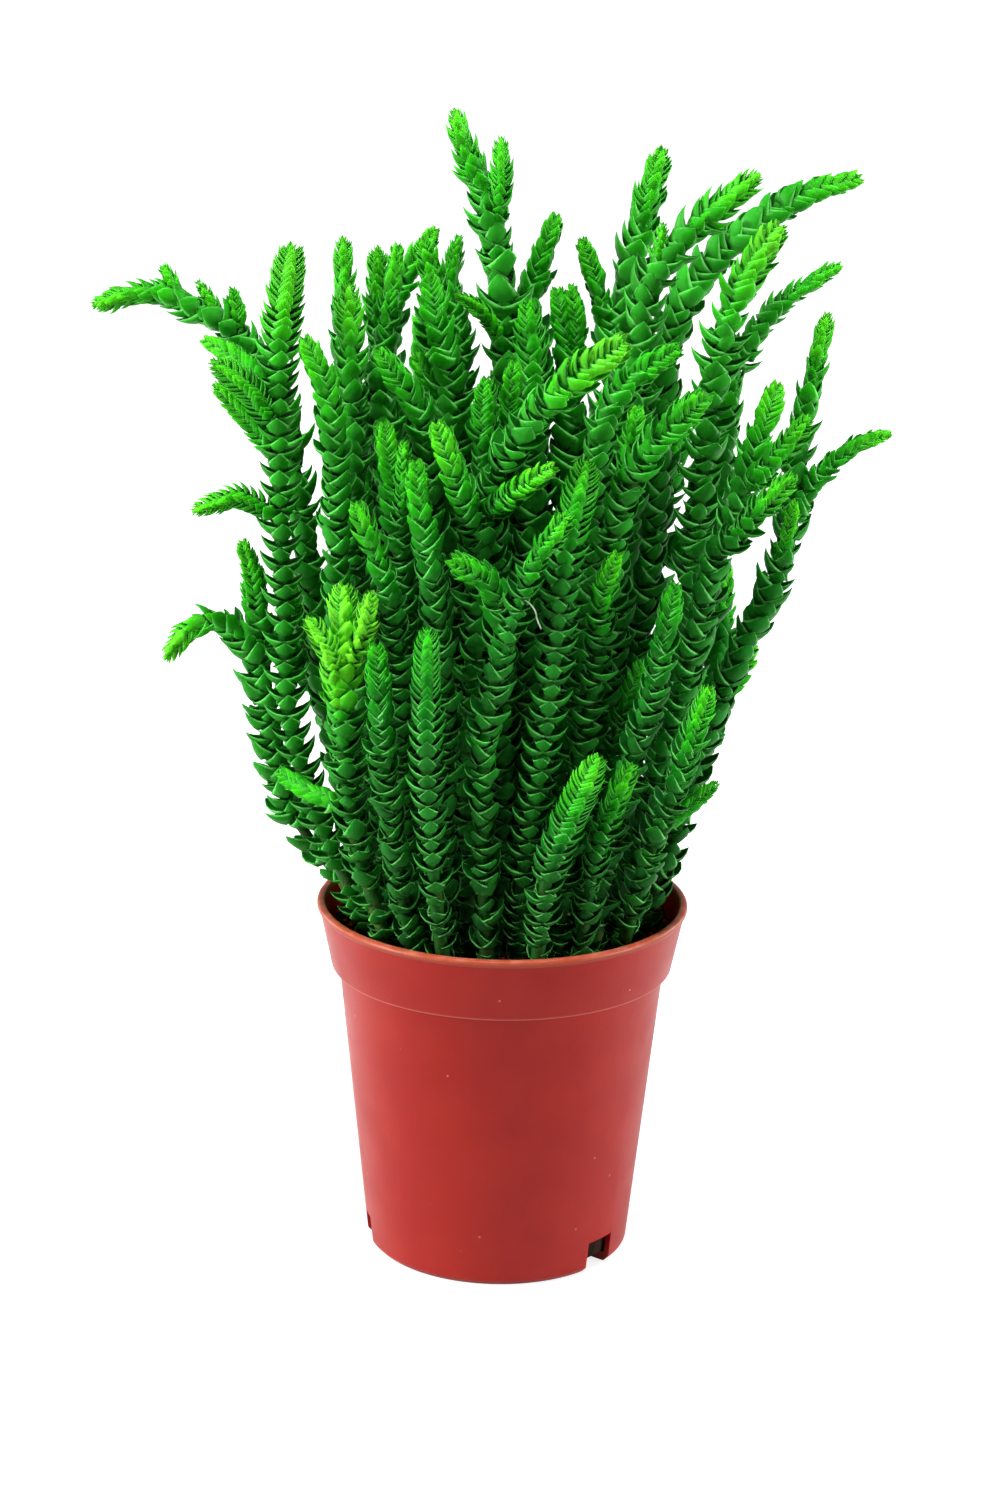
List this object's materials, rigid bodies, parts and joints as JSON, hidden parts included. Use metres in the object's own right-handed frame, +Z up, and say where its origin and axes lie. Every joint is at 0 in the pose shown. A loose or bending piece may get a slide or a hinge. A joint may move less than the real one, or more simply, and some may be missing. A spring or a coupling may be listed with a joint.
{
  "type": "potted watch chain crassula",
  "caption": "Dense clump of upright, scale-leaved succulent stems with side shoots, rooted in the soil of a small tapered plastic nursery pot with a stepped rim band.",
  "frame": {"origin": "middle of the pot's flat underside", "axes": "+Z up along the pot's axis, towards the stem tips; -Y towards the side that the picture shows; +X to its right"},
  "size_m": [0.114, 0.0725, 0.171],
  "materials": {
    "pot_plastic": "satin brick-red moulded plastic",
    "potting_soil": "rough, dark, moist peat",
    "leafy_stem": "satin green, fleshy"
  },
  "bodies": {
    "root": {"pot": "pot_plastic", "soil": "potting_soil", "stem_left_weeping": "leafy_stem", "stem_left_tall": "leafy_stem", "stem_far_left": "leafy_stem", "stem_left_rear": "leafy_stem", "stem_left_upright": "leafy_stem", "stem_left_forked": "leafy_stem", "stem_left_bowed": "leafy_stem", "stem_middle_hooked": "leafy_stem", "stem_middle_left": "leafy_stem", "stem_topmost": "leafy_stem", "stem_middle_rear": "leafy_stem", "stem_middle_upright": "leafy_stem", "stem_right_inner": "leafy_stem", "stem_right_tallest": "leafy_stem", "stem_right_arm": "leafy_stem", "stem_right_far_arm": "leafy_stem", "stem_right_bright": "leafy_stem", "stem_right_rear": "leafy_stem", "stem_right_edge": "leafy_stem", "stem_right_low": "leafy_stem", "stem_right_short": "leafy_stem", "stem_right_front": "leafy_stem", "stem_front_dark": "leafy_stem", "stem_front_stub": "leafy_stem", "stem_front_sprig": "leafy_stem", "stem_front_tall": "leafy_stem", "stem_front_right": "leafy_stem", "stem_front_bright": "leafy_stem", "stem_front_weeping": "leafy_stem", "stem_front_left": "leafy_stem", "stem_left_forward": "leafy_stem", "stem_left_nodding": "leafy_stem", "stem_left_slanting": "leafy_stem", "stem_middle_forward": "leafy_stem", "stem_right_forward": "leafy_stem", "stem_front_yellow": "leafy_stem", "stem_front_plain": "leafy_stem", "stem_front_straight": "leafy_stem", "stem_left_fan": "leafy_stem", "stem_rear_1": "leafy_stem", "stem_rear_2": "leafy_stem", "stem_rear_3": "leafy_stem", "stem_rear_4": "leafy_stem", "stem_rear_5": "leafy_stem", "stem_rear_6": "leafy_stem", "stem_rear_7": "leafy_stem", "stem_rear_8": "leafy_stem", "stem_rear_9": "leafy_stem", "stem_rear_10": "leafy_stem", "stem_rear_11": "leafy_stem", "stem_rear_12": "leafy_stem", "stem_rear_13": "leafy_stem", "stem_rear_14": "leafy_stem"}
  },
  "joints": []
}
